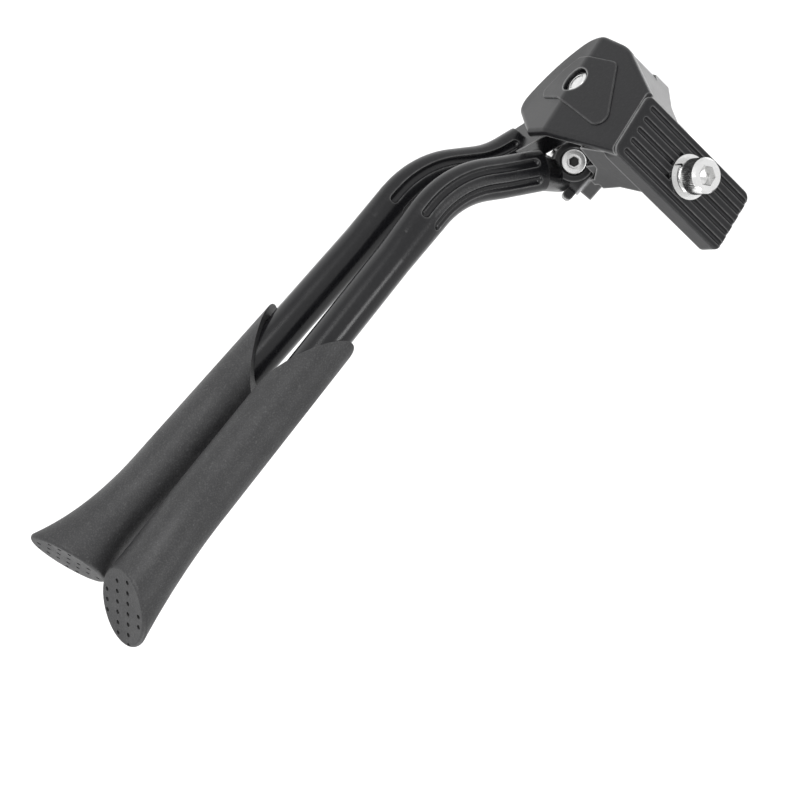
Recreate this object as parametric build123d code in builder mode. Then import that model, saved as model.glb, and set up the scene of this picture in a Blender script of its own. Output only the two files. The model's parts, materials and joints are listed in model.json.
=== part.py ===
from build123d import *
import os
from math import cos, radians, sin, sqrt, tan

os.makedirs("parts", exist_ok=True)

# Double-leg bicycle kickstand, shown folded.
# Millimetres. +X is forward on the bicycle, +Y to its left, +Z up along the clamp bolt.
# The origin is where the bolt axis meets the top of the platform's ribs.

# Clamping platform
platform_half_width = 16.0
platform_left = 38.0
platform_right = -33.5
platform_thickness = 9.0
platform_corner = 4.0
platform_edge = 1.0
rib_count = 5
rib_pitch = 5.8
rib_groove_width = 2.6
rib_groove_depth = 1.1
rib_start_inset = 5.6
platform_lip = 1.2
bolt_boss_radius = 9.0
bolt_boss_depth = 11.0

# Clamp bolt and its washers
bolt_radius = 5.0
bolt_length = 40.0
bolt_head_radius = 8.0
bolt_head_height = 10.0
bolt_hex = 8.0
bolt_hex_depth = 5.5
bolt_clearance = 0.1
flat_washer_radius = 10.0
flat_washer_thickness = 2.0
spring_washer_radius = 8.6
spring_washer_thickness = 2.4
spring_washer_split = 1.0

# Hood below the platform, and the faceted cover on its left side
wall = 3.4
hood_rear = -15.0
hood_shoulder_x = 40.0
hood_shoulder_z = -27.0
hood_front = 43.0
hood_bottom = -41.0
hood_right_top = 6.5
hood_right_side = 11.5
hood_right_side_z = -22.0
hood_right_bottom = 20.0
hood_right_bottom_z = -34.5
hood_skew = 7.5
rear_mouth_y = 27.0
rear_mouth_z = -25.0
rear_mouth_top = -20.0
crease_y = 50.5
crease_round = 10.0
tip_y = 48.5
tip_z = -82.0
tip_x = 8.0
cover_front = 46.0
cover_front_z = -49.0
cover_belly_x = 29.5
cover_belly_z = -70.5
cover_rear = -10.0
cover_rear_z = -58.0
cover_tip_radius = 9.0
cover_front_radius = 20.0
cover_edge = 2.4
fin_rise = 0.8
fin_edge = 0.6
fin_corner = 5.0
fin_front = 14.0
fin_front_drop = 7.0
fin_shoulder = 12.0
fin_shoulder_rise = 17.5
fin_tip_back = 27.0
fin_tip_rise = 34.5
fin_waist_back = 10.0
fin_waist_drop = 5.0
fin_heel_back = 7.0
fin_heel_drop = 24.0
fin_belly = 8.0
fin_belly_drop = 15.0

# Main pivot, across the bicycle
pivot_x = 18.0
pivot_z = -43.0
pin_radius = 5.0
pin_head_radius = 5.8
pin_head_thickness = 2.5
pin_recess = 0.9
pin_recess_radius = 6.4
pin_fit = 0.05
side_gap = 0.1
bush_radius = 6.5
washer_radius = 10.0
washer_thickness = 1.0
clip_radius = 8.0
clip_thickness = 1.2
clip_mouth = 6.0
clip_room = 1.0
pin_end_past_clip = 1.5
cheek_left = 25.4
cheek_thickness = 9.0
cheek_boss_radius = 10.5
cover_boss_radius = 10.0

# Right pivot, tilted up and turned a little from straight across
right_pivot_x = 2.0
right_pivot_y = 12.7
right_pivot_z = -71.7
right_tilt = 24.46
right_yaw = -8.05
right_hub_radius = 11.5
right_hub_free = 8.0
right_hub_back = 9.0
spot_face_room = 0.4
hub_lug_turn = 200.0
hub_lug_start = 4.2
hub_lug_reach = 15.0
hub_lug_width = 9.0
hub_lug_corner = 2.0
right_boss_radius = 7.8
right_boss_length = 6.0
web_reach = 48.0

# Swing of the legs from folded to standing
left_turn = 93.0
right_turn = 111.06
ground_z = -339.18

# Legs
left_hub_width = 13.0
left_hub_radius = 12.5
left_arm_thickness = 8.6
left_arm_end_radius = 9.5
left_knee_x = -4.5
left_knee_y = 35.0
left_knee_z = -84.0
left_sway_x = -21.6
left_sway_y = 42.9
left_sway_z = -84.2
left_bend_x = -48.0
left_bend_y = 69.6
left_bend_z = -84.5
left_splay = 7.6
left_droop = 1.6
right_start_s = -2.4
right_start_back = 10.0
right_knee_x = -17.8
right_knee_y = 32.2
right_knee_z = -60.0
right_sway_x = -33.7
right_sway_y = 46.8
right_sway_z = -60.2
right_bend_x = -52.1
right_bend_y = 64.8
right_bend_z = -60.5
right_splay = 5.2
right_droop = 1.3
knuckle_radius = 6.4
bend_radius = 48.0
bar_radius = 8.5
bend_width = 19.0
bend_depth = 15.0
bend_past = 2.0
bend_fade = 26.0
bend_groove_radius = 2.3
bend_groove_offset = 4.4
bend_groove_start = 6.0
bend_groove_past = 4.0

# Rubber feet
sleeve_radius = 12.2
sleeve_mouth_radius = 11.7
sleeve_length = 124.0
mouth_rise = 42.0
flare_start = 56.0
flare_lead = 6.0
flare_mid = 25.0
flare_mid_radius = 13.2
flare_mid_offset = 1.6
sole_half_length = 19.5
sole_half_width = 15.5
sole_toe_offset = 5.5
sole_thickness = 12.0
sole_edge = 1.5
toe_out = 45.0
foot_fit = 0.05
dimple_radius = 1.0
dimple_depth = 0.8
dimple_rows = 7
dimple_pitch = 5.0
dimple_columns = 4
dimple_column_pitch = 7.5
dimple_border = 3.5

# Hex-socket plug, ball and spring in the right hub
plug_turn = 114.0
plug_s = -1.0
plug_boss_radius = 9.2
plug_face = 17.0
plug_radius = 5.85
plug_fit = 0.15
plug_thickness = 4.0
plug_recess = 0.8
plug_mouth = 0.6
plug_hex = 4.0
plug_hex_depth = 2.4
ball_radius = 2.0
ball_fit = 0.1
spring_wire = 0.4
spring_turns = 3
spring_room = 0.25


def main_plane(y):
    """Plane across the main pivot at a distance to the left."""
    return Plane(origin=(pivot_x, y, pivot_z), x_dir=(1, 0, 0), z_dir=(0, 1, 0))


def side_plane(y):
    """Upright plane along the bicycle, drawn in X and Z."""
    return Plane(origin=(0, y, 0), x_dir=(1, 0, 0), z_dir=(0, -1, 0))


right_pivot = Vector(right_pivot_x, right_pivot_y, right_pivot_z)
right_axis = Vector(0, -cos(radians(right_tilt)), sin(radians(right_tilt))).rotate(Axis.Z, right_yaw)
right_across = Vector(1, 0, 0).rotate(Axis.Z, right_yaw)
right_up = right_axis.cross(right_across)


def right_plane(s):
    """Plane across the right pivot, a distance s along its axis towards its boss."""
    return Plane(origin=right_pivot + right_axis * s, x_dir=right_across, z_dir=right_axis)


left_swing = Axis((pivot_x, 0, pivot_z), (0, -1, 0))
right_swing = Axis(right_pivot, right_axis)


def folded(point, swing, turn):
    """Where a point of the standing stand lies when it is folded."""
    return swing.position + (point - swing.position).rotate(swing, -turn)


def bar_direction(splay, droop):
    """Way a folded leg points: backwards, a little to the left and a little down."""
    return Vector(-cos(radians(splay)), sin(radians(splay)), -tan(radians(droop))).normalized()


def meet(start, along, plane_point, normal):
    """Point where the line from start along a direction crosses a plane."""
    return start + along * ((plane_point - start).dot(normal) / along.dot(normal))


left_knee = Vector(left_knee_x, left_knee_y, left_knee_z)
left_sway = Vector(left_sway_x, left_sway_y, left_sway_z)
left_bend = Vector(left_bend_x, left_bend_y, left_bend_z)
right_knee = Vector(right_knee_x, right_knee_y, right_knee_z)
right_sway = Vector(right_sway_x, right_sway_y, right_sway_z)
right_bend = Vector(right_bend_x, right_bend_y, right_bend_z)
left_down_leg = bar_direction(left_splay, left_droop)
right_down_leg = bar_direction(right_splay, right_droop)


# The ground below the standing stand, carried back to the folded legs
ground_point = Vector(0, 0, ground_z)
left_ground = folded(ground_point, left_swing, left_turn)
right_ground = folded(ground_point, right_swing, right_turn)
left_sole_normal = Vector(0, 0, -1).rotate(left_swing, -left_turn)
right_sole_normal = Vector(0, 0, -1).rotate(right_swing, -right_turn)
left_end = meet(left_bend, left_down_leg, left_ground, left_sole_normal)
right_end = meet(right_bend, right_down_leg, right_ground, right_sole_normal)
toe_forward = cos(radians(toe_out))
toe_aside = sin(radians(toe_out))
left_toe = Vector(toe_forward, toe_aside, 0).rotate(left_swing, -left_turn)
right_toe = Vector(toe_forward, -toe_aside, 0).rotate(right_swing, -right_turn)

# Slope of the cover's two facets, and the wall measured along Y
upper_lean = (crease_y - platform_left) / -pivot_z
wall_along_y = wall * sqrt(1 + upper_lean**2)
groove_radius = (rib_groove_width**2 / 4 + rib_groove_depth**2) / (2 * rib_groove_depth)
groove_axis_z = groove_radius - rib_groove_depth
rib_start = platform_left - rib_start_inset
cover_top = -platform_lip - side_gap

# Positions along the main pin, from the inner cheek out to the cover
inner_washer_y = cheek_left + side_gap
left_hub_y = inner_washer_y + washer_thickness + side_gap
outer_washer_y = left_hub_y + left_hub_width + side_gap
cover_boss_y = outer_washer_y + washer_thickness + side_gap
pin_head_y = crease_y - pin_recess
cheek_right = cheek_left - cheek_thickness
clip_y = cheek_right - side_gap - clip_thickness

# Positions along the right pin, from its free end to the boss it is pressed into
free_washer_s = -right_hub_free - side_gap - washer_thickness
right_clip_s = free_washer_s - side_gap - clip_thickness
right_pin_s = right_clip_s - pin_end_past_clip
back_washer_s = right_hub_back + side_gap
right_boss_s = back_washer_s + washer_thickness + side_gap

# Axis of the plug, square to the right pivot
plug_axis = right_across * cos(radians(plug_turn)) + right_up * sin(radians(plug_turn))
plug_foot = right_pivot + right_axis * plug_s


def plug_plane(r):
    """Plane across the plug at a distance from the right pivot's axis."""
    return Plane(origin=plug_foot + plug_axis * r, x_dir=right_axis, z_dir=plug_axis)


# Mount head: platform, hood, inner cheek and the boss for the tilted pin
hood_outer = [
    (hood_rear, hood_bottom),
    (hood_rear, -platform_thickness / 2),
    (platform_half_width, -platform_thickness / 2),
    (hood_shoulder_x, hood_shoulder_z),
    (hood_front, hood_bottom),
]
underside = [
    (hood_right_top, -platform_thickness),
    (hood_right_side, hood_right_side_z),
    (hood_right_side, hood_right_bottom_z),
    (hood_right_bottom, hood_right_bottom_z),
    (hood_right_bottom, pivot_z * 2),
    (platform_right * 2, pivot_z * 2),
    (platform_right * 2, -platform_thickness),
]
rear_mouth = [
    (hood_right_bottom, hood_right_bottom_z),
    (rear_mouth_y, rear_mouth_z),
    (crease_y, rear_mouth_top),
    (crease_y, pivot_z),
    (hood_right_bottom, pivot_z),
]


def facet_line(depth, top):
    """Cover's two facets in Y and Z, from a height down to the tip, moved in by a depth."""
    return [
        (platform_left - upper_lean * top - depth, top),
        (crease_y - depth, pivot_z),
        (tip_y - depth, tip_z),
    ]


def facet_plate(outer, inner):
    """Plate between two depths below the cover's facets, with a soft crease, across the whole head."""
    with BuildPart() as plate:
        with BuildSketch(Plane.YZ.offset(hood_rear * 2)):
            with BuildLine():
                Polyline(*facet_line(outer, cover_top), *reversed(facet_line(inner, cover_top)), close=True)
            make_face()
            fillet(vertices().sort_by(Axis.X)[-1], crease_round)
        extrude(amount=hood_front * 4)
    return plate


def soften_rim(radius):
    """Round the rim of the outward faces of the plate in hand."""
    outward = faces().filter_by(lambda face: face.normal_at().Y > sqrt(0.5))
    fillet(outward.edges().filter_by(Axis.X, reverse=True), radius)


with BuildPart() as mount_head:
    with BuildSketch(side_plane(hood_right_top)):
        with BuildLine():
            Polyline(*hood_outer, close=True)
        make_face()
        fillet(vertices().sort_by(Axis.X)[-2], cover_front_radius)
        offset(amount=-wall, kind=Kind.INTERSECTION, mode=Mode.SUBTRACT)
        with Locations((pivot_x, hood_bottom)):
            Rectangle(hood_front * 4, wall * 2, mode=Mode.SUBTRACT)
    extrude(amount=hood_right_top - crease_y)
    with BuildSketch(Plane.YZ.offset(hood_rear * 2)):
        with BuildLine():
            Polyline(*underside, close=True)
        make_face()
    extrude(amount=hood_front * 4, dir=Vector(1, 0, 0).rotate(Axis.Z, hood_skew), mode=Mode.SUBTRACT)
    with BuildSketch(Plane.XY):
        with Locations((0, (platform_left + platform_right) / 2)):
            Rectangle(2 * platform_half_width, platform_left - platform_right)
        fillet(vertices(), platform_corner)
    extrude(amount=-platform_thickness)
    fillet(faces().sort_by(Axis.Z)[-1].edges(), platform_edge)
    with BuildSketch(side_plane(cheek_right)):
        with BuildLine():
            Polyline(*hood_outer, close=True)
        make_face()
        with Locations((pivot_x, hood_bottom - wall)):
            Rectangle(hood_front * 4, wall * 4, mode=Mode.SUBTRACT)
        with Locations((pivot_x, pivot_z)):
            Circle(cheek_boss_radius)
    extrude(amount=-cheek_thickness)
    with BuildSketch(Plane.YZ.offset(hood_rear - wall)):
        with BuildLine():
            Polyline(*rear_mouth, close=True)
        make_face()
    extrude(amount=2 * wall, mode=Mode.SUBTRACT)
    with BuildSketch(right_plane(right_boss_s)):
        Circle(right_boss_radius)
        with Locations((0, web_reach / 2)):
            Rectangle(2 * right_boss_radius, web_reach)
    extrude(amount=right_boss_length)
    with BuildSketch(Plane.YZ.offset(hood_rear * 2)):
        with BuildLine():
            Polyline(
                *facet_line(wall_along_y, -platform_lip),
                (crease_y * 2, tip_z),
                (crease_y * 2, -platform_lip),
                close=True,
            )
        make_face()
    extrude(amount=hood_front * 4, mode=Mode.SUBTRACT)
    with BuildSketch(side_plane(cheek_left)):
        with Locations((pivot_x, pivot_z)):
            Circle(left_hub_radius + wall)
    extrude(amount=cheek_left - crease_y, mode=Mode.SUBTRACT)
    with BuildSketch(Plane.XY.offset(-platform_thickness)):
        Circle(bolt_boss_radius)
    extrude(amount=-bolt_boss_depth)
    with GridLocations(rib_pitch, 0, rib_count, 1):
        with Locations(Location((0, (rib_start + platform_right * 2) / 2, groove_axis_z), (90, 0, 0))):
            Cylinder(groove_radius, rib_start - platform_right * 2, mode=Mode.SUBTRACT)
        with Locations((0, rib_start, groove_axis_z)):
            Sphere(groove_radius, mode=Mode.SUBTRACT)
    with BuildSketch(Plane.XY):
        Circle(bolt_radius + bolt_clearance)
    extrude(amount=-bolt_length, mode=Mode.SUBTRACT)
    with BuildSketch(main_plane(cheek_right)):
        Circle(pin_radius + pin_fit)
    extrude(amount=cheek_thickness, mode=Mode.SUBTRACT)
    with BuildSketch(main_plane(cheek_right)):
        Circle(clip_radius + clip_room)
    extrude(amount=-cheek_thickness, mode=Mode.SUBTRACT)
    with BuildSketch(right_plane(right_boss_s)):
        Circle(pin_radius + pin_fit)
    extrude(amount=right_boss_length, mode=Mode.SUBTRACT)
mount_head.part.label = "mount_head"
export_step(mount_head.part, "parts/mount_head.step")

# Side cover: two facets that meet at a soft crease, cut to a round-bellied outline,
# with a raised fin-shaped field round the pin
cover_fin = [
    (pivot_x + fin_front, pivot_z - fin_front_drop),
    (pivot_x + fin_shoulder, pivot_z + fin_shoulder_rise),
    (pivot_x - fin_tip_back, pivot_z + fin_tip_rise),
    (pivot_x - fin_waist_back, pivot_z - fin_waist_drop),
    (pivot_x - fin_heel_back, pivot_z - fin_heel_drop),
    (pivot_x + fin_belly, pivot_z - fin_belly_drop),
]
raised_plate = facet_plate(-fin_rise, wall / 2)
with BuildPart() as fin_field:
    add(raised_plate.part)
    with BuildSketch(side_plane(0)):
        with BuildLine():
            Polyline(*cover_fin, close=True)
        make_face()
        fillet(vertices(), fin_corner)
    extrude(amount=-crease_y * 2, mode=Mode.INTERSECT)
    soften_rim(fin_edge)

cover_plate = facet_plate(0, wall_along_y)
with BuildPart() as side_cover:
    add(cover_plate.part)
    with BuildSketch(side_plane(0)):
        with BuildLine():
            Polyline(
                (tip_x, tip_z),
                (cover_rear, cover_rear_z),
                (-platform_half_width, 0),
                (platform_half_width, 0),
                (hood_shoulder_x, hood_shoulder_z),
                (cover_front, cover_front_z),
            )
            ThreePointArc((cover_front, cover_front_z), (cover_belly_x, cover_belly_z), (tip_x, tip_z))
        make_face()
        fillet(vertices().sort_by(Axis.X)[-2:], cover_front_radius)
        fillet(vertices().sort_by(Axis.Y)[0], cover_tip_radius)
        fillet(vertices().filter_by_position(Axis.X, cover_rear, cover_rear), cover_tip_radius)
    extrude(amount=-crease_y * 2, mode=Mode.INTERSECT)
    soften_rim(cover_edge)
    add(fin_field.part)
    with BuildSketch(main_plane(cover_boss_y)):
        Circle(cover_boss_radius)
    extrude(amount=crease_y - wall_along_y - cover_boss_y)
    with BuildSketch(main_plane(cover_boss_y)):
        Circle(pin_radius + pin_fit)
    extrude(amount=crease_y, mode=Mode.SUBTRACT)
    with BuildSketch(main_plane(pin_head_y - pin_head_thickness)):
        Circle(pin_recess_radius)
    extrude(amount=crease_y, mode=Mode.SUBTRACT)
side_cover.part.label = "side_cover"
export_step(side_cover.part, "parts/side_cover.step")


def ring(plane, outer, inner, thickness):
    """Flat ring that lies on a plane."""
    with BuildPart() as washer:
        with BuildSketch(plane):
            Circle(outer)
            Circle(inner, mode=Mode.SUBTRACT)
        extrude(amount=thickness)
    return washer


def retaining_clip(plane):
    """Open ring that snaps onto a pin, with its mouth along the plane's y axis."""
    with BuildPart() as clip:
        with BuildSketch(plane):
            Circle(clip_radius)
            Circle(pin_radius + pin_fit, mode=Mode.SUBTRACT)
            with Locations((0, clip_radius)):
                Rectangle(clip_mouth, clip_radius * 2, mode=Mode.SUBTRACT)
        extrude(amount=clip_thickness)
    return clip


with BuildPart() as main_pivot_pin:
    with BuildSketch(main_plane(pin_head_y - pin_head_thickness)):
        Circle(pin_head_radius)
    extrude(amount=pin_head_thickness)
    with BuildSketch(main_plane(clip_y - pin_end_past_clip)):
        Circle(pin_radius)
    extrude(amount=pin_head_y - pin_head_thickness - clip_y + pin_end_past_clip)
main_pivot_pin.part.label = "main_pivot_pin"
export_step(main_pivot_pin.part, "parts/main_pivot_pin.step")

main_pivot_clip = retaining_clip(main_plane(clip_y))
main_pivot_clip.part.label = "main_pivot_clip"
export_step(main_pivot_clip.part, "parts/main_pivot_clip.step")

with BuildPart() as right_pivot_pin:
    with BuildSketch(right_plane(right_pin_s)):
        Circle(pin_radius)
    extrude(amount=right_boss_s + right_boss_length - right_pin_s)
right_pivot_pin.part.label = "right_pivot_pin"
export_step(right_pivot_pin.part, "parts/right_pivot_pin.step")

right_pivot_clip = retaining_clip(right_plane(right_clip_s))
right_pivot_clip.part.label = "right_pivot_clip"
export_step(right_pivot_clip.part, "parts/right_pivot_clip.step")

# Clamp bolt with its washers, standing on the ribs
with BuildPart() as clamp_bolt:
    head_z = flat_washer_thickness + spring_washer_thickness
    with BuildSketch(Plane.XY.offset(head_z)):
        Circle(bolt_head_radius)
    extrude(amount=bolt_head_height)
    chamfer(faces().sort_by(Axis.Z)[-1].edges(), rib_groove_depth / 2)
    with BuildSketch(Plane.XY.offset(head_z)):
        Circle(bolt_radius)
    extrude(amount=-bolt_length)
    chamfer(faces().sort_by(Axis.Z)[0].edges(), rib_groove_depth / 2)
    with BuildSketch(Plane.XY.offset(head_z + bolt_head_height)):
        RegularPolygon(bolt_hex / 2, 6, major_radius=False)
    extrude(amount=-bolt_hex_depth, mode=Mode.SUBTRACT)
clamp_bolt.part.label = "clamp_bolt"
export_step(clamp_bolt.part, "parts/clamp_bolt.step")

flat_washer = ring(Plane.XY, flat_washer_radius, bolt_radius + bolt_clearance, flat_washer_thickness)
flat_washer.part.label = "flat_washer"
export_step(flat_washer.part, "parts/flat_washer.step")

with BuildPart() as spring_washer:
    with BuildSketch(Plane.XY.offset(flat_washer_thickness)):
        Circle(spring_washer_radius)
        Circle(bolt_radius + bolt_clearance, mode=Mode.SUBTRACT)
        with Locations((0, spring_washer_radius)):
            Rectangle(spring_washer_split, spring_washer_radius * 2, mode=Mode.SUBTRACT)
    extrude(amount=spring_washer_thickness)
spring_washer.part.label = "spring_washer"
export_step(spring_washer.part, "parts/spring_washer.step")


def section_plane(at, along):
    """Plane across a leg, with the grooved sides turned up and down."""
    across = along.cross(Vector(0, 0, 1)).normalized()
    return Plane(origin=at, x_dir=across, z_dir=along)


def groove_centres():
    """Two grooves on the top of the bend and two on its bottom, with a rib between each pair."""
    return GridLocations(2 * bend_groove_offset, bend_depth, 2, 2)


def bent_bar(knee, sway, bend, end):
    """Broad grooved bend from the knee, which fades into the straight round bar of the leg."""
    first = (sway - knee).normalized()
    down_leg = (end - bend).normalized()
    half_turn = (bend - sway).get_angle(down_leg) / 2
    rounding = bend_radius * tan(radians(half_turn))
    fade_start = bend + down_leg * (rounding + bend_past)
    bar_start = fade_start + down_leg * bend_fade
    groove_start = knee + first * bend_groove_start
    groove_end = bend + down_leg * (rounding + bend_groove_past)
    with BuildPart() as bar:
        with BuildLine() as path:
            FilletPolyline(knee, sway, bend, fade_start, radius=bend_radius)
        with BuildSketch(section_plane(knee, first)):
            Ellipse(bend_width / 2, bend_depth / 2)
        sweep(path=path.wires()[0])
        with BuildSketch(section_plane(fade_start, down_leg)):
            Ellipse(bend_width / 2, bend_depth / 2)
        with BuildSketch(section_plane(bar_start, down_leg)):
            Circle(bar_radius)
        loft()
        with BuildSketch(section_plane(bar_start, down_leg)):
            Circle(bar_radius)
        extrude(amount=(end - bar_start).length - sole_thickness)
        with BuildLine() as groove_path:
            FilletPolyline(groove_start, sway, bend, groove_end, radius=bend_radius)
        with BuildSketch(section_plane(groove_start, first)):
            with groove_centres():
                Circle(bend_groove_radius)
        sweep(path=groove_path.wires()[0], mode=Mode.SUBTRACT)
        for groove_stop in (section_plane(groove_start, first), section_plane(groove_end, down_leg)):
            with Locations(groove_stop.location):
                with groove_centres():
                    Sphere(bend_groove_radius, mode=Mode.SUBTRACT)
    return bar


left_bar = bent_bar(left_knee, left_sway, left_bend, left_end)
left_plate_y = left_hub_y + left_hub_width - left_arm_thickness
with BuildPart() as left_leg:
    with BuildSketch(main_plane(left_hub_y)):
        Circle(left_hub_radius)
    extrude(amount=left_hub_width)
    with BuildSketch(side_plane(left_plate_y)):
        with BuildLine():
            CenterArc((pivot_x, pivot_z), left_hub_radius, 0, 360)
            CenterArc((left_knee.X, left_knee.Z), left_arm_end_radius, 0, 360)
        make_hull()
    extrude(amount=-left_arm_thickness)
    add(left_bar.part)
    with BuildSketch(main_plane(left_hub_y)):
        Circle(bush_radius)
    extrude(amount=left_hub_width, mode=Mode.SUBTRACT)
left_leg.part.label = "left_leg"
export_step(left_leg.part, "parts/left_leg.step")

right_bar = bent_bar(right_knee, right_sway, right_bend, right_end)
lug_way = right_across * cos(radians(hub_lug_turn)) + right_up * sin(radians(hub_lug_turn))
lug_plane = Plane(origin=right_pivot, x_dir=right_axis, z_dir=right_axis.cross(lug_way))
right_start = right_pivot + right_axis * right_start_s - Vector(right_start_back, 0, 0)
with BuildPart() as right_leg:
    with BuildSketch(right_plane(-right_hub_free)):
        Circle(right_hub_radius)
    extrude(amount=right_hub_free + right_hub_back)
    with BuildSketch(plug_plane(0)):
        Circle(plug_boss_radius)
    extrude(amount=plug_face)
    with BuildSketch(section_plane(right_start, right_knee - right_start)):
        Circle(knuckle_radius)
    with BuildSketch(section_plane(right_knee, right_sway - right_knee)):
        Ellipse(bend_width / 2, bend_depth / 2)
    loft()
    add(right_bar.part)
    with BuildSketch(lug_plane):
        with Locations((hub_lug_start, 0)):
            Rectangle(right_hub_back - hub_lug_start, hub_lug_reach, align=Align.MIN)
        fillet(vertices().group_by(Axis.Y)[-1], hub_lug_corner)
    extrude(amount=hub_lug_width / 2, both=True)
    with BuildSketch(right_plane(-right_hub_free)):
        Circle(bush_radius)
    extrude(amount=right_hub_free + right_hub_back, mode=Mode.SUBTRACT)
    with BuildSketch(right_plane(-right_hub_free)):
        Circle(washer_radius + spot_face_room)
    extrude(amount=-right_hub_free - bend_width, mode=Mode.SUBTRACT)
    with BuildSketch(right_plane(right_hub_back)):
        Circle(right_hub_radius + bend_width)
    extrude(amount=bend_width, mode=Mode.SUBTRACT)
    with BuildSketch(plug_plane(plug_face)):
        Circle(plug_radius + plug_fit)
    extrude(amount=-plug_recess - plug_thickness, mode=Mode.SUBTRACT)
    with BuildSketch(plug_plane(plug_face)):
        Circle(plug_radius + plug_fit + plug_mouth)
    extrude(amount=-plug_mouth, taper=45, mode=Mode.SUBTRACT)
    with BuildSketch(plug_plane(0)):
        Circle(ball_radius + ball_fit)
    extrude(amount=plug_face, mode=Mode.SUBTRACT)
right_leg.part.label = "right_leg"
export_step(right_leg.part, "parts/right_leg.step")


def hub_bush(plane, length):
    """Plain bush that lines a hub and turns on its pin."""
    return ring(plane, bush_radius, pin_radius + pin_fit, length)


left_hub_bush = hub_bush(main_plane(left_hub_y), left_hub_width)
left_hub_bush.part.label = "left_hub_bush"
export_step(left_hub_bush.part, "parts/left_hub_bush.step")

with BuildPart() as right_hub_bush:
    with BuildSketch(right_plane(-right_hub_free)):
        Circle(bush_radius)
        Circle(pin_radius + pin_fit, mode=Mode.SUBTRACT)
    extrude(amount=right_hub_free + right_hub_back)
    with BuildSketch(plug_plane(0)):
        Circle(ball_radius + ball_fit)
    extrude(amount=plug_face, mode=Mode.SUBTRACT)
right_hub_bush.part.label = "right_hub_bush"
export_step(right_hub_bush.part, "parts/right_hub_bush.step")

washer_planes = {
    "left_inner_washer": main_plane(inner_washer_y),
    "left_outer_washer": main_plane(outer_washer_y),
    "right_free_washer": right_plane(free_washer_s),
    "right_back_washer": right_plane(back_washer_s),
}
for washer_name, washer_plane in washer_planes.items():
    washer = ring(washer_plane, washer_radius, pin_radius + pin_fit, washer_thickness)
    washer.part.label = washer_name
    export_step(washer.part, f"parts/{washer_name}.step")

# Hex-socket plug, and the sprung ball below it that rides on the right pin
with BuildPart() as hub_plug:
    with BuildSketch(plug_plane(plug_face - plug_recess)):
        Circle(plug_radius)
    extrude(amount=-plug_thickness)
    with BuildSketch(plug_plane(plug_face - plug_recess)):
        RegularPolygon(plug_hex / 2, 6, major_radius=False)
    extrude(amount=-plug_hex_depth, mode=Mode.SUBTRACT)
hub_plug.part.label = "hub_plug"
export_step(hub_plug.part, "parts/hub_plug.step")

ball_r = pin_radius + pin_fit + ball_radius
with BuildPart() as detent_ball:
    with Locations(plug_plane(ball_r).location):
        Sphere(ball_radius)
detent_ball.part.label = "detent_ball"
export_step(detent_ball.part, "parts/detent_ball.step")

spring_foot = ball_r + ball_radius + spring_wire + spring_room
spring_top = plug_face - plug_recess - plug_thickness - spring_wire - spring_room
spring_height = spring_top - spring_foot
coil_radius = ball_radius - spring_wire - ball_fit
with BuildPart() as detent_spring:
    with BuildLine() as coil:
        Helix(
            pitch=spring_height / spring_turns,
            height=spring_height,
            radius=coil_radius,
            center=plug_plane(spring_foot).origin,
            direction=plug_axis,
        )
    with BuildSketch(Plane(origin=coil.line @ 0, z_dir=coil.line % 0)):
        Circle(spring_wire)
    sweep(path=coil.line, is_frenet=True)
detent_spring.part.label = "detent_spring"
export_step(detent_spring.part, "parts/detent_spring.step")


def dimple_places():
    """Staggered columns of dimples that keep clear of the sole's rim."""
    places = []
    for column in range(dimple_columns):
        aside = (column - (dimple_columns - 1) / 2) * dimple_column_pitch
        for row in range(dimple_rows):
            ahead = (row - (dimple_rows - 1) / 2 + column % 2 / 2) * dimple_pitch
            reach = (aside / (sole_half_width - dimple_border)) ** 2
            reach += (ahead / (sole_half_length - dimple_border)) ** 2
            if reach < 1:
                places.append((aside, ahead))
    return places


def rubber_foot(end, up_leg, sole_normal, toe, other_end):
    """Sleeve with a slanted mouth that flares like a trumpet into a flat dimpled sole."""
    tongue = end - other_end
    tongue = (tongue - up_leg * tongue.dot(up_leg)).normalized()
    mouth_lean = mouth_rise / (2 * sleeve_mouth_radius)
    mouth_normal = (up_leg - tongue * mouth_lean).normalized()
    side = sole_normal.cross(toe)
    sleeve_height = sleeve_length + mouth_rise - flare_start
    flare_centre = end + up_leg * flare_mid + toe * flare_mid_offset
    sole_plane = Plane(origin=end + toe * sole_toe_offset, x_dir=side, z_dir=-sole_normal)
    with BuildPart() as foot:
        with BuildSketch(Plane(origin=end + up_leg * flare_start, x_dir=side, z_dir=up_leg)):
            Circle(sleeve_radius)
        with BuildSketch(Plane(origin=end + up_leg * (flare_start - flare_lead), x_dir=side, z_dir=up_leg)):
            Circle(sleeve_radius)
        with BuildSketch(Plane(origin=flare_centre, x_dir=side, z_dir=up_leg - sole_normal)):
            Circle(flare_mid_radius)
        with BuildSketch(sole_plane):
            Ellipse(sole_half_width, sole_half_length)
        loft()
        fillet(faces().sort_by(Axis(end, sole_normal))[-1].edges(), sole_edge)
        with Locations(Plane(origin=end + up_leg * flare_start, x_dir=side, z_dir=up_leg).location):
            Cone(
                sleeve_radius,
                sleeve_mouth_radius,
                sleeve_height,
                align=(Align.CENTER, Align.CENTER, Align.MIN),
            )
        split(
            bisect_by=Plane(origin=end + up_leg * sleeve_length, z_dir=mouth_normal), keep=Keep.BOTTOM
        )
        with BuildSketch(Plane(origin=end + up_leg * sole_thickness, x_dir=tongue, z_dir=up_leg)):
            Circle(bar_radius + foot_fit)
        extrude(amount=sleeve_length * 2, mode=Mode.SUBTRACT)
        with BuildSketch(sole_plane):
            with Locations(*dimple_places()):
                Circle(dimple_radius)
        extrude(amount=dimple_depth, mode=Mode.SUBTRACT)
    return foot


left_foot = rubber_foot(left_end, -left_down_leg, left_sole_normal, left_toe, right_end)
left_foot.part.label = "left_foot"
export_step(left_foot.part, "parts/left_foot.step")

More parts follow.
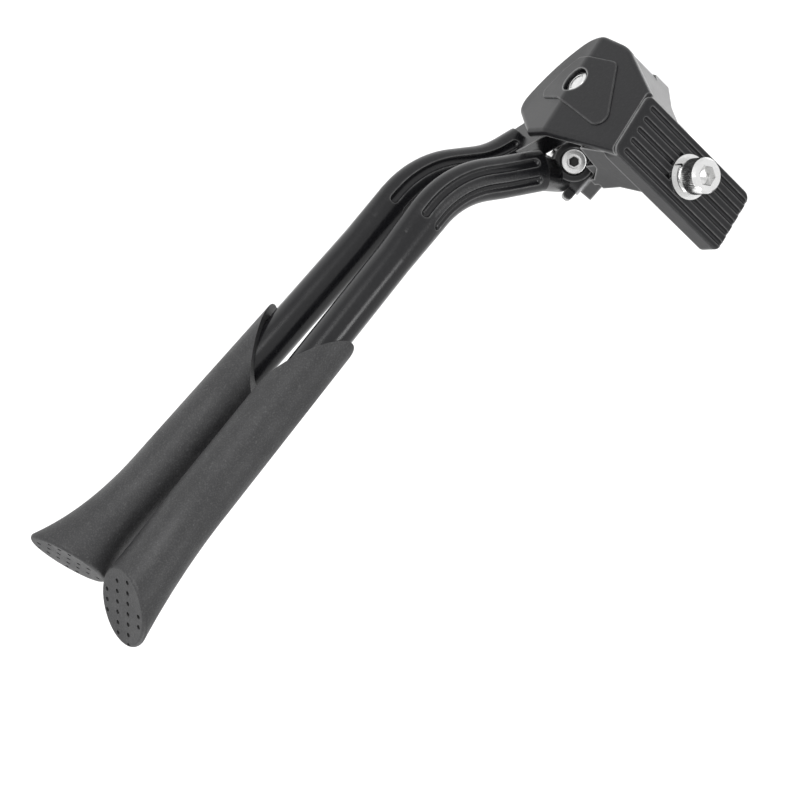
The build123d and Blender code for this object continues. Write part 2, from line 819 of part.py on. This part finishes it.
right_foot = rubber_foot(right_end, -right_down_leg, right_sole_normal, right_toe, left_end)
right_foot.part.label = "right_foot"
export_step(right_foot.part, "parts/right_foot.step")
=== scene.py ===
# %% [markdown]
# A folding double-leg bicycle stand, dressed for a product picture.
# The metal and rubber pieces come from the imported model, each as one object in metres, already in place.
# We keep that frame as it is, give every piece a finish of its own, and build by hand only what
# the model leaves plain. The box of the model is kept, and its middle is where one soft box aims.

# %% Load the stand
import json
import math

import bmesh
import bpy
from mathutils import Matrix, Vector


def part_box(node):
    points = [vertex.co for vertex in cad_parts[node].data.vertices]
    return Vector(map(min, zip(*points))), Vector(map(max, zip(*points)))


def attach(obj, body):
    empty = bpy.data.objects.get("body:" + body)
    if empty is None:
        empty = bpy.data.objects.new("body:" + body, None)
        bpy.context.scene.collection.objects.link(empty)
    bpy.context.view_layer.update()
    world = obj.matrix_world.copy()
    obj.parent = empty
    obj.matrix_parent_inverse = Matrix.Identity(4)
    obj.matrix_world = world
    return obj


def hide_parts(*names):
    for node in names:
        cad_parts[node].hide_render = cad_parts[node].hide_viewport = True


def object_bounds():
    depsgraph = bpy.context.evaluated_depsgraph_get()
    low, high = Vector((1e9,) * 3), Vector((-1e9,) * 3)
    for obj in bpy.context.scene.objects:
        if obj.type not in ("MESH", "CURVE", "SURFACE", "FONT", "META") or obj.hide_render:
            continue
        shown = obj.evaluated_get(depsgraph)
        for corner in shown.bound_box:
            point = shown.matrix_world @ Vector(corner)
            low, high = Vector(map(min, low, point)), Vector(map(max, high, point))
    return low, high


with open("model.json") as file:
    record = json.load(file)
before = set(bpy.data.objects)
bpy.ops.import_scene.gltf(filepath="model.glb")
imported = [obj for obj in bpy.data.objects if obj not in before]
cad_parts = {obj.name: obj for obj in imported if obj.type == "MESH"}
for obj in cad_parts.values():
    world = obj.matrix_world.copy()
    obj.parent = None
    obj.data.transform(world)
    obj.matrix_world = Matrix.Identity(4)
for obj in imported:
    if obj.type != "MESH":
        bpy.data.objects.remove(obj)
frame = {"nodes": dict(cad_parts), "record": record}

cad_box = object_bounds()
nodes = frame["nodes"]
print("pieces loaded:", len(nodes))

# %% [markdown]
# The picture is taken from above and behind the left foot, from about a metre away.
# A camera can be aimed with a Track To constraint, but here we know its three axes,
# so we write them straight into the rotation part of its matrix: right, up and back.
# The lens is long, which keeps the two legs nearly parallel.

# %% Camera
camera_place = Vector((-0.4119, 0.4504, 0.7607))
camera_right = Vector((0.513, -0.684, 0.518)).normalized()
camera_back = Vector((-0.279, 0.438, 0.855)).normalized()
camera_up = camera_back.cross(camera_right).normalized()
camera_right = camera_up.cross(camera_back).normalized()
picture_size = 800
focal_pixels = 2200
sensor_width_mm = 36.0

camera_data = bpy.data.cameras.new("camera")
camera_data.sensor_width = sensor_width_mm
camera_data.lens = sensor_width_mm * focal_pixels / picture_size
camera = bpy.data.objects.new("camera", camera_data)
bpy.context.collection.objects.link(camera)
turn = Matrix((camera_right, camera_up, camera_back)).transposed()
camera.matrix_world = Matrix.Translation(camera_place) @ turn.to_4x4()
bpy.context.scene.camera = camera
print("lens in mm:", round(camera_data.lens, 1))

# %% [markdown]
# An effect that several finishes share is a node group, built once and placed in each material
# with its own values. Four helpers keep the groups short: an empty group with named number sockets,
# a Math node, a noise, and a ramp that stretches a narrow range of values to a mask.
# The noise reads Object coordinates, so its pattern stays on a piece when the piece moves.


# %% Group helpers
def new_group(name, inputs, outputs):
    """Empty shader node group with named number sockets."""
    group = bpy.data.node_groups.new(name, "ShaderNodeTree")
    for socket, value in inputs.items():
        made = group.interface.new_socket(socket, in_out="INPUT", socket_type="NodeSocketFloat")
        made.default_value = value
    for socket in outputs:
        group.interface.new_socket(socket, in_out="OUTPUT", socket_type="NodeSocketFloat")
    return group, group.nodes.new("NodeGroupInput"), group.nodes.new("NodeGroupOutput")


def math_node(tree, operation, first, second):
    """Math node whose inputs are sockets or plain numbers."""
    node = tree.nodes.new("ShaderNodeMath")
    node.operation = operation
    for socket, value in zip(node.inputs, (first, second)):
        if isinstance(value, (int, float)):
            socket.default_value = value
        else:
            tree.links.new(value, socket)
    return node.outputs[0]


def noise(tree, scale, detail, roughness=0.5):
    """Noise on Object coordinates, at so many cells to the metre."""
    place = tree.nodes.new("ShaderNodeTexCoord")
    node = tree.nodes.new("ShaderNodeTexNoise")
    node.inputs["Detail"].default_value = detail
    node.inputs["Roughness"].default_value = roughness
    tree.links.new(place.outputs["Object"], node.inputs["Vector"])
    if isinstance(scale, (int, float)):
        node.inputs["Scale"].default_value = scale
    else:
        tree.links.new(scale, node.inputs["Scale"])
    return node.outputs["Fac"]


def ramp(tree, value, start, end):
    """Mask that goes from 0 to 1 while a value goes from start to end."""
    node = tree.nodes.new("ShaderNodeMapRange")
    node.inputs["From Min"].default_value = start
    node.inputs["From Max"].default_value = end
    tree.links.new(value, node.inputs["Value"])
    return node.outputs["Result"]


print("group helpers ready")

# %% [markdown]
# The first group is a fine grain, two noises of different size added together. Satin paint shows it
# as a soft orange peel, rubber as a tight matt skin. It puts out a height for a Bump node,
# a mask for slow drifts of colour, and a fleck: the tops of the fine noise, which look a shade paler
# where the light grazes them.

# %% Grain group
coarse_to_fine = 0.16
grain, grain_in, grain_out = new_group(
    "grain", {"Scale": 1200.0, "Coarse share": 0.3}, ("Height", "Mask", "Fleck")
)
fine = noise(grain, grain_in.outputs["Scale"], detail=3.0)
coarse_scale = math_node(grain, "MULTIPLY", grain_in.outputs["Scale"], coarse_to_fine)
coarse = noise(grain, coarse_scale, detail=2.0)
coarse_part = math_node(grain, "MULTIPLY", coarse, grain_in.outputs["Coarse share"])
grain.links.new(math_node(grain, "ADD", fine, coarse_part), grain_out.inputs["Height"])
grain.links.new(coarse, grain_out.inputs["Mask"])
grain.links.new(ramp(grain, fine, start=0.48, end=0.70), grain_out.inputs["Fleck"])
print("group made:", grain.name)

# %% [markdown]
# The second group is handling: faint smudges where fingers and cloths have been, and a few
# specks of dust. Both are noises with a narrow threshold, so most of the surface stays clean.

# %% Handling group
handling, handling_in, handling_out = new_group(
    "handling", {"Smudge scale": 26.0, "Speck scale": 700.0, "Speck level": 0.74}, ("Smudge", "Speck")
)
smudge = noise(handling, handling_in.outputs["Smudge scale"], detail=4.0, roughness=0.6)
handling.links.new(ramp(handling, smudge, start=0.42, end=0.68), handling_out.inputs["Smudge"])
speck = noise(handling, handling_in.outputs["Speck scale"], detail=1.0)
speck_mask = math_node(handling, "GREATER_THAN", speck, handling_in.outputs["Speck level"])
handling.links.new(speck_mask, handling_out.inputs["Speck"])
print("group made:", handling.name)

# %% [markdown]
# The third group finds the outer edges. Paint draws thin over an edge and gets rubbed there, and a rounded
# edge also catches the light, so edges are painted paler: partly real wear, partly a painted highlight. An
# Ambient Occlusion node that looks into the metal finds them: under a flat face it sees nothing near,
# under an outer edge it sees the next face at once. A noise makes the pale line uneven.

# %% Edge group
patches_per_metre = 240.0
least_patch = 0.25
# Mask of the outer edges, for rubbed paint and a painted edge highlight.
edge_wear_and_highlight, edge_in, edge_out = new_group("edge_wear_and_highlight", {"Reach": 0.0010}, ("Edge",))
inward = edge_wear_and_highlight.nodes.new("ShaderNodeAmbientOcclusion")
inward.inside = True
inward.only_local = True
inward.samples = 8
edge_wear_and_highlight.links.new(edge_in.outputs["Reach"], inward.inputs["Distance"])
near_edge = ramp(edge_wear_and_highlight, inward.outputs["AO"], start=0.92, end=0.55)
patches = math_node(edge_wear_and_highlight, "ADD", noise(edge_wear_and_highlight, patches_per_metre, detail=3.0), least_patch)
edge_wear_and_highlight.links.new(math_node(edge_wear_and_highlight, "MULTIPLY", near_edge, patches), edge_out.inputs["Edge"])
print("group made:", edge_wear_and_highlight.name)

# %% [markdown]
# A finish needs a colour that isn't quite even. We could paint it on an image, but a mix of two colours
# by the masks of the groups stays sharp at any distance. The base colour goes a little paler by the slow
# drift, by the flecks and by the specks, and outer edges are mixed over it in grey: rubbed paint and a
# painted edge highlight.

# %% Colour helpers
drift_share = 0.35
fleck_share = 0.6
speck_share = 0.5
# Grey of the outer edges: rubbed paint and a painted highlight where a rounded edge catches the light.
rubbed_and_highlight_grey = (0.35, 0.35, 0.35, 1.0)


def place_group(tree, group):
    """Node that holds a group in a material."""
    node = tree.nodes.new("ShaderNodeGroup")
    node.node_tree = group
    return node


def mix_colours(tree, mask):
    """Node that mixes two colours by a mask."""
    node = tree.nodes.new("ShaderNodeMix")
    node.data_type = "RGBA"
    tree.links.new(mask, node.inputs["Factor"])
    return node


def drifting_colour(tree, skin, marks, colour, pale):
    """Colour that goes towards a paler one by drift, flecks and specks."""
    share = math_node(tree, "MULTIPLY", skin.outputs["Mask"], drift_share)
    share = math_node(tree, "ADD", share, math_node(tree, "MULTIPLY", skin.outputs["Fleck"], fleck_share))
    share = math_node(tree, "ADD", share, math_node(tree, "MULTIPLY", marks.outputs["Speck"], speck_share))
    mix = mix_colours(tree, share)
    mix.inputs["A"].default_value = (*colour, 1.0)
    mix.inputs["B"].default_value = (*pale, 1.0)
    return mix.outputs["Result"]


def rub_and_highlight_edges(tree, colour, strength):
    """The same colour, with its outer edges painted grey: rubbed paint and a painted edge highlight."""
    edge_marks = place_group(tree, edge_wear_and_highlight)
    mix = mix_colours(tree, math_node(tree, "MULTIPLY", edge_marks.outputs["Edge"], strength))
    mix.inputs["B"].default_value = rubbed_and_highlight_grey
    tree.links.new(colour, mix.inputs["A"])
    return mix.outputs["Result"]


print("colour helpers ready")

# %% [markdown]
# One helper makes every finish. The colour comes from the cell above, smudges move the roughness
# a little up and down, and the grain's height goes through a Bump node to the normal.
# Values that are the same all over go straight on the shader's sockets.

# %% Finish helper
relief_depth = 0.0002


def finish(
    name, colour, pale, roughness, spread, grain_scale, bump, metallic=0.0, specks=0.8, shine=0.5, edge=0.0
):
    """Material with a drifting colour, a roughness that follows smudges and a grain in its surface."""
    material = bpy.data.materials.new(name)
    material.use_nodes = True
    tree = material.node_tree
    shader = tree.nodes["Principled BSDF"]
    shader.inputs["Metallic"].default_value = metallic
    shader.inputs["Specular IOR Level"].default_value = shine
    skin = place_group(tree, grain)
    skin.inputs["Scale"].default_value = grain_scale
    marks = place_group(tree, handling)
    marks.inputs["Speck level"].default_value = specks

    base = drifting_colour(tree, skin, marks, colour, pale)
    # Outer edges go paler: rubbed paint and a painted edge highlight.
    if edge:
        base = rub_and_highlight_edges(tree, base, edge)
    tree.links.new(base, shader.inputs["Base Color"])

    rough = tree.nodes.new("ShaderNodeMapRange")
    rough.inputs["To Min"].default_value = roughness - spread
    rough.inputs["To Max"].default_value = roughness + spread
    tree.links.new(marks.outputs["Smudge"], rough.inputs["Value"])
    tree.links.new(rough.outputs["Result"], shader.inputs["Roughness"])

    relief = tree.nodes.new("ShaderNodeBump")
    relief.inputs["Strength"].default_value = bump
    relief.inputs["Distance"].default_value = relief_depth
    tree.links.new(skin.outputs["Height"], relief.inputs["Height"])
    tree.links.new(relief.outputs["Normal"], shader.inputs["Normal"])
    return material


print("finish helper ready")

# %% [markdown]
# The dark finishes. The casting and the legs have the same satin black, but the legs are smoother
# and shine more, and both get paler edges, rubbed paint with a painted highlight. The rubber is greyer,
# nearly matt, with a strong fine grain. The socket of the plug is painted dark, a painted shade in the
# recess.

# %% Paint, rubber and socket shade
black_casting = finish(
    "black_casting",
    colour=(0.006, 0.006, 0.007),
    pale=(0.012, 0.012, 0.013),
    roughness=0.34,
    spread=0.05,
    grain_scale=900.0,
    bump=0.2,
    specks=0.76,
    shine=0.24,
    edge=0.65,
)
black_leg = finish(
    "black_leg",
    colour=(0.005, 0.005, 0.006),
    pale=(0.010, 0.010, 0.011),
    roughness=0.26,
    spread=0.05,
    grain_scale=800.0,
    bump=0.14,
    specks=0.74,
    shine=0.36,
    edge=0.5,
)
black_rubber = finish(
    "black_rubber",
    colour=(0.014, 0.014, 0.015),
    pale=(0.050, 0.050, 0.051),
    roughness=0.56,
    spread=0.1,
    grain_scale=1600.0,
    bump=0.8,
    specks=0.71,
    shine=0.45,
)
# Near-black finish for the plug's socket: a painted shade in the recess.
socket_shade = finish(
    "socket_shade",
    colour=(0.008, 0.008, 0.008),
    pale=(0.03, 0.03, 0.03),
    roughness=0.45,
    spread=0.1,
    grain_scale=1800.0,
    bump=0.3,
)
print("dark finishes:", black_casting.name, black_leg.name, black_rubber.name, socket_shade.name)

# %% [markdown]
# The bare metals are fully metallic, and differ in colour and in how sharp their reflections are.
# Zinc plate is the brightest, spring steel is dark and dull, and the bushes are bronze.

# %% Bare metals
bright_zinc = finish(
    "bright_zinc",
    colour=(0.74, 0.74, 0.74),
    pale=(0.88, 0.88, 0.87),
    roughness=0.2,
    spread=0.06,
    grain_scale=1800.0,
    bump=0.05,
    metallic=1.0,
)
turned_steel = finish(
    "turned_steel",
    colour=(0.60, 0.60, 0.60),
    pale=(0.74, 0.74, 0.73),
    roughness=0.24,
    spread=0.06,
    grain_scale=1600.0,
    bump=0.06,
    metallic=1.0,
)
spring_steel = finish(
    "spring_steel",
    colour=(0.32, 0.32, 0.33),
    pale=(0.42, 0.42, 0.42),
    roughness=0.34,
    spread=0.06,
    grain_scale=1600.0,
    bump=0.08,
    metallic=1.0,
)
bronze = finish(
    "bronze",
    colour=(0.42, 0.27, 0.12),
    pale=(0.55, 0.38, 0.2),
    roughness=0.36,
    spread=0.06,
    grain_scale=1500.0,
    bump=0.08,
    metallic=1.0,
)
print("bare metals:", bright_zinc.name, turned_steel.name, spring_steel.name, bronze.name)

# %% [markdown]
# The record of the model says which finish each piece has, by the name of a slot.
# So one loop dresses all the pieces, whatever their number.

# %% Dress the pieces
slot_finish = {
    "black_casting": black_casting,
    "black_leg": black_leg,
    "black_rubber": black_rubber,
    "bright_bolt": bright_zinc,
    "bright_pin": turned_steel,
    "spring_steel": spring_steel,
    "bronze": bronze,
}
for subpart in frame["record"]["subparts"]:
    piece = nodes[subpart["node"]]
    piece.data.materials.clear()
    piece.data.materials.append(slot_finish[subpart["material_slot"]])

# %% [markdown]
# Three pieces in the picture are turned ones that the model leaves plain, so we turn them here.
# A turned piece can be drawn ring by ring: start with a circle of points, extrude its edges,
# and give the new ring its own radius and height. If the radius may change with the angle,
# the same walk also makes a knurl or a hexagon.

# %% Rings
closed = 1e-9


def first_ring(shape, count, radius, height):
    """Circle of points about the Z axis, to start a turned piece."""
    made = bmesh.ops.create_circle(shape, cap_ends=False, segments=count, radius=radius)
    bmesh.ops.translate(shape, verts=made["verts"], vec=(0, 0, height))
    return list({edge for point in made["verts"] for edge in point.link_edges})


def next_ring(shape, edges, radius_at, height):
    """Extrude a ring of edges, and place the new points by an angle's radius and a height."""
    made = bmesh.ops.extrude_edge_only(shape, edges=edges)["geom"]
    for point in made:
        if isinstance(point, bmesh.types.BMVert):
            angle = math.atan2(point.co.y, point.co.x)
            radius = radius_at(angle) if callable(radius_at) else radius_at
            point.co = (radius * math.cos(angle), radius * math.sin(angle), height)
    return [edge for edge in made if isinstance(edge, bmesh.types.BMEdge)]


def walk(shape, edges, steps):
    """Ring after ring, through pairs of radius and height."""
    for radius_at, height in steps:
        edges = next_ring(shape, edges, radius_at, height)
    return edges


print("ring helpers ready")

# %% [markdown]
# A finished shape becomes an object at the origin. Rings of almost no radius close to a point
# when doubles are merged, and then the normals can be turned outwards. A piece with no open edge is
# a closed solid, so we print how many there are. Faces are smooth, except across sharp edges.

# %% New pieces
merge_distance = 1e-7
sharp_angle = 0.6


def new_piece(name, shape, body, material):
    """Object from a finished shape, smooth where its faces nearly line up."""
    bmesh.ops.remove_doubles(shape, verts=shape.verts, dist=merge_distance)
    bmesh.ops.recalc_face_normals(shape, faces=shape.faces)
    open_edges = sum(edge.is_boundary for edge in shape.edges)
    print(name, "has", len(shape.faces), "faces and", open_edges, "open edges")
    for face in shape.faces:
        face.smooth = True
    for edge in shape.edges:
        edge.smooth = edge.calc_face_angle(math.pi) < sharp_angle
    mesh = bpy.data.meshes.new(name)
    shape.to_mesh(mesh)
    shape.free()
    mesh.materials.append(material)
    piece = bpy.data.objects.new(name, mesh)
    bpy.context.collection.objects.link(piece)
    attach(piece, body)
    return piece


print("piece helper ready")

# %% [markdown]
# The clamp bolt is a socket-head cap screw. Its head is one walk of rings: under the head,
# the knurled side, a chamfer, the flat top, the hexagon's rim and the socket down to its floor.
# A hexagon is a circle whose radius grows towards six corners: half the width across flats
# divided by the cosine of the angle from the nearest flat's middle.

# %% Bolt head
bolt_low, bolt_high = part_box("clamp_bolt")
head_radius = bolt_high.x
head_top = bolt_high.z
head_height = 0.010
head_under = head_top - head_height
head_chamfer = 0.0007
knurl_teeth = 60
knurl_depth = 0.00028
knurl_top = head_top - 2 * head_chamfer
knurl_fade = 0.3 * head_chamfer
top_radius = head_radius - 1.5 * head_chamfer
socket_flat = 0.004
socket_depth = 0.0055
socket_floor = head_top - socket_depth
drill_point = socket_flat / 3
thread_radius = 0.005
bolt_ring_points = 2 * knurl_teeth


def knurl(angle):
    """Radius of the head's side, in and out once for each tooth."""
    valley = round(angle / math.pi * knurl_teeth) % 2
    return head_radius - knurl_depth * valley


def hexagon(angle, half_flat):
    """Radius of a hexagon's outline, from half its width across flats."""
    from_flat = (angle % (math.pi / 3)) - math.pi / 6
    return half_flat / math.cos(from_flat)


def socket(angle):
    """Radius of the bolt's socket."""
    return hexagon(angle, socket_flat)


def socket_rim(angle):
    """Radius of the chamfer round the bolt's socket."""
    return socket(angle) + head_chamfer / 2


bolt_shape = bmesh.new()
neck = first_ring(bolt_shape, bolt_ring_points, thread_radius, head_under)
head_rings = [
    (head_radius - head_chamfer, head_under),
    (knurl, head_under + head_chamfer),
    (knurl, knurl_top),
    (head_radius - knurl_depth, knurl_top + knurl_fade),
    (top_radius, head_top),
    (socket_rim, head_top),
    (socket, head_top - head_chamfer / 2),
    (socket, socket_floor),
    (closed, socket_floor - drill_point),
]
walk(bolt_shape, neck, head_rings)
print("points in the bolt's head:", len(bolt_shape.verts))

# %% [markdown]
# The thread is a spin that also moves: a small triangle, a tooth nearly one pitch high, goes round
# the axis and down one pitch in each turn, so each turn starts just below the last one.
# A spun face leaves a cap at its start and at its end, so the tooth is a closed coil.
# A plain core with a chamfered end fills it.

# %% Bolt thread
thread_depth = 0.0009
thread_pitch = 0.0015
thread_steps = 36
thread_root = thread_radius - thread_depth
core_radius = thread_root + thread_depth / 6
thread_top = head_under - thread_pitch
tooth_height = 0.98 * thread_pitch
turns = int((thread_top - bolt_low.z - 2 * thread_pitch) / thread_pitch)
tooth = bolt_shape.faces.new(
    [
        bolt_shape.verts.new((thread_root, 0, thread_top)),
        bolt_shape.verts.new((thread_radius, 0, thread_top - tooth_height / 2)),
        bolt_shape.verts.new((thread_root, 0, thread_top - tooth_height)),
    ]
)
bmesh.ops.spin(
    bolt_shape,
    geom=[tooth, *tooth.edges, *tooth.verts],
    axis=(0, 0, 1),
    cent=(0, 0, 0),
    dvec=(0, 0, -thread_pitch / thread_steps),
    angle=2 * math.pi * turns,
    steps=turns * thread_steps,
)
core_top = first_ring(bolt_shape, bolt_ring_points, thread_radius, head_under)
core_rings = [
    (thread_radius, thread_top),
    (core_radius, thread_top - thread_pitch / 4),
    (core_radius, bolt_low.z + thread_depth),
    (thread_root - thread_depth, bolt_low.z),
    (closed, bolt_low.z),
]
walk(bolt_shape, core_top, core_rings)
bolt = new_piece("clamp_bolt_turned", bolt_shape, "head", bright_zinc)
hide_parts("clamp_bolt")
print("turns of thread:", turns)

# %% [markdown]
# The main pivot's head shows in the cover's recess, with the fine ring that the rivet tool leaves.
# It is drawn upright about the Z axis like the bolt, and then turned onto its side with one matrix.

# %% Pivot pin
pin_low, pin_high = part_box("main_pivot_pin")
pin_middle = (pin_low + pin_high) / 2
pin_head_radius = (pin_high.x - pin_low.x) / 2
pin_length = pin_high.y - pin_low.y
pin_head = 0.0025
pin_radius = 0.005
pin_edge = 0.0004
groove_radius = 0.0036
groove_width = 0.0003
pin_ring_points = 64
mm_per_metre = 1000

pin_shape = bmesh.new()
pin_end = first_ring(pin_shape, pin_ring_points, pin_radius - pin_edge, -pin_length)
next_ring(pin_shape, pin_end, closed, -pin_length)
pin_rings = [
    (pin_radius, pin_edge - pin_length),
    (pin_radius, -pin_head),
    (pin_head_radius, -pin_head),
    (pin_head_radius, -2 * pin_edge),
    (pin_head_radius - pin_edge, -pin_edge),
    (groove_radius + groove_width, -pin_edge / 2),
    (groove_radius, -pin_edge),
    (groove_radius - groove_width, -pin_edge / 2),
    (groove_radius / 2, 0.0),
    (closed, 0.0),
]
walk(pin_shape, pin_end, pin_rings)
pin_face = Matrix.Translation((pin_middle.x, pin_high.y, pin_middle.z))
lay_down = pin_face @ Matrix.Rotation(-math.pi / 2, 4, "X")
bmesh.ops.transform(pin_shape, matrix=lay_down, verts=pin_shape.verts)
pin = new_piece("main_pivot_pin_turned", pin_shape, "head", turned_steel)
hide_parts("main_pivot_pin")
print("pin length in mm:", round(pin_length * mm_per_metre, 1))

# %% [markdown]
# The plug in the right hub closes the bore of the detent spring. It leans with the hub, so we find
# its axis first: it runs from the middle of the detent ball to the middle of the plug.
# The length and the radius are how far the model's points reach along that axis and away from it.

# %% Plug axis
plug_low, plug_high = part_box("hub_plug")
ball_low, ball_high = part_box("detent_ball")
plug_middle = (plug_low + plug_high) / 2
plug_axis = (plug_middle - (ball_low + ball_high) / 2).normalized()
plug_points = [point.co - plug_middle for point in nodes["hub_plug"].data.vertices]
plug_half = max(point.dot(plug_axis) for point in plug_points)
plug_radius = max(point.cross(plug_axis).length for point in plug_points)
print("plug across in mm:", round(2 * plug_radius * mm_per_metre, 1))

# %% [markdown]
# The plug's face is turned flat and bright, with a few shallow rings that the lathe left,
# and its small hexagon is painted dark, a painted shade in the recess. The plug is drawn upright, ring by
# ring, and then leaned onto its axis. The faces that come after the rim of the socket get the second
# material, the painted shade.

# %% Hub plug
plug_edge = 0.0003
plug_flat = 0.002
plug_socket_depth = 0.0024
plug_socket_floor = plug_half - plug_socket_depth
plug_ring_points = 72
lathe_depth = 0.00008
lathe_rings = 5
face_radius = plug_radius - plug_edge
face_inner_radius = 1.3 * plug_flat
lathe_pitch = (face_radius - face_inner_radius) / (lathe_rings + 1)


def plug_socket(angle):
    """Radius of the plug's socket."""
    return hexagon(angle, plug_flat)


def plug_socket_rim(angle):
    """Radius of the chamfer round the plug's socket."""
    return plug_socket(angle) + plug_edge / 2


plug_shape = bmesh.new()
plug_end = first_ring(plug_shape, plug_ring_points, face_radius, -plug_half)
next_ring(plug_shape, plug_end, closed, -plug_half)
side_rings = [
    (plug_radius, plug_edge - plug_half),
    (plug_radius, plug_half - plug_edge),
    (face_radius, plug_half),
]
face_rings = [
    (face_radius - lathe_pitch * step, plug_half - lathe_depth * (step % 2))
    for step in range(1, lathe_rings + 1)
]
rim_rings = [(plug_socket_rim, plug_half - lathe_depth), (plug_socket, plug_half - plug_edge)]
rim = walk(plug_shape, plug_end, side_rings + face_rings + rim_rings)
bright_faces = set(plug_shape.faces)
walk(plug_shape, rim, [(plug_socket, plug_socket_floor), (closed, plug_socket_floor)])
# The socket's faces get the painted shade.
for face in plug_shape.faces:
    face.material_index = 0 if face in bright_faces else 1
lean = Matrix.Translation(plug_middle) @ plug_axis.to_track_quat("Z", "Y").to_matrix().to_4x4()
bmesh.ops.transform(plug_shape, matrix=lean, verts=plug_shape.verts)
plug = new_piece("hub_plug_turned", plug_shape, "right_side", bright_zinc)
# Second material: painted shade inside the socket.
plug.data.materials.append(socket_shade)
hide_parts("hub_plug")
print("rings on the plug's face:", lathe_rings)

# %% [markdown]
# The studio is a white tent: a wide pale floor just below the soles of the standing stand,
# and an even white sky. A floor can have a bent back wall, but under a white sky a flat sheet will do.
# Plain tone mapping keeps the paper white.

# %% Floor and sky
floor_height = -0.340
floor_half = 40.0
paper_white = (0.93, 0.93, 0.93, 1.0)
paper_roughness = 0.9
sky_white = (1.0, 1.0, 1.0, 1.0)
sky_strength = 0.95

floor_mesh = bpy.data.meshes.new("floor")
floor_shape = bmesh.new()
bmesh.ops.create_grid(floor_shape, x_segments=1, y_segments=1, size=floor_half)
bmesh.ops.translate(floor_shape, verts=floor_shape.verts, vec=(0, 0, floor_height))
floor_shape.to_mesh(floor_mesh)
floor_shape.free()
floor = bpy.data.objects.new("floor", floor_mesh)
bpy.context.collection.objects.link(floor)
paper = bpy.data.materials.new("paper")
paper.use_nodes = True
paper_shader = paper.node_tree.nodes["Principled BSDF"]
paper_shader.inputs["Base Color"].default_value = paper_white
paper_shader.inputs["Roughness"].default_value = paper_roughness
floor_mesh.materials.append(paper)

world = bpy.data.worlds.new("studio")
bpy.context.scene.world = world
world.use_nodes = True
sky = world.node_tree.nodes["Background"]
sky.inputs["Color"].default_value = sky_white
sky.inputs["Strength"].default_value = sky_strength
bpy.context.scene.view_settings.view_transform = "Standard"
print("floor at", floor_height)

# %% [markdown]
# Black paint shows its shape only by what it reflects, so four soft boxes are placed by their
# reflections: one low in front for the head's front wall, a broad one on the left for the soft light
# along the bars, a low one behind for the soles, and a small one above for the platform.
# The small one stands a little aside, so that the bolt's flat top doesn't mirror it and burn out.


# %% Lights
def area_light(name, place, aim, width, height, power):
    """Soft box that shines from place towards aim."""
    data = bpy.data.lights.new(name, "AREA")
    data.shape = "RECTANGLE"
    data.size = width
    data.size_y = height
    data.energy = power
    light = bpy.data.objects.new(name, data)
    bpy.context.collection.objects.link(light)
    towards = (Vector(aim) - Vector(place)).to_track_quat("-Z", "Y")
    light.matrix_world = Matrix.Translation(place) @ towards.to_matrix().to_4x4()
    return light


stand_middle = (cad_box[0] + cad_box[1]) / 2
front_wall = (0.03, 0.02, -0.02)
feet = (-0.28, 0.0, -0.1)
bolt_seat = (0.0, 0.0, 0.0)
soft_boxes = [
    area_light("front_box", (0.75, -0.37, -0.15), front_wall, width=0.5, height=0.35, power=2.0),
    area_light("left_box", (-0.3, 1.0, 0.6), stand_middle, width=1.2, height=0.42, power=8.0),
    area_light("sole_box", (-0.95, -0.45, -0.1), feet, width=0.4, height=0.4, power=3.0),
    area_light("top_box", (0.12, -0.42, 1.15), bolt_seat, width=0.36, height=0.36, power=3.0),
]
print("soft boxes:", [light.name for light in soft_boxes])
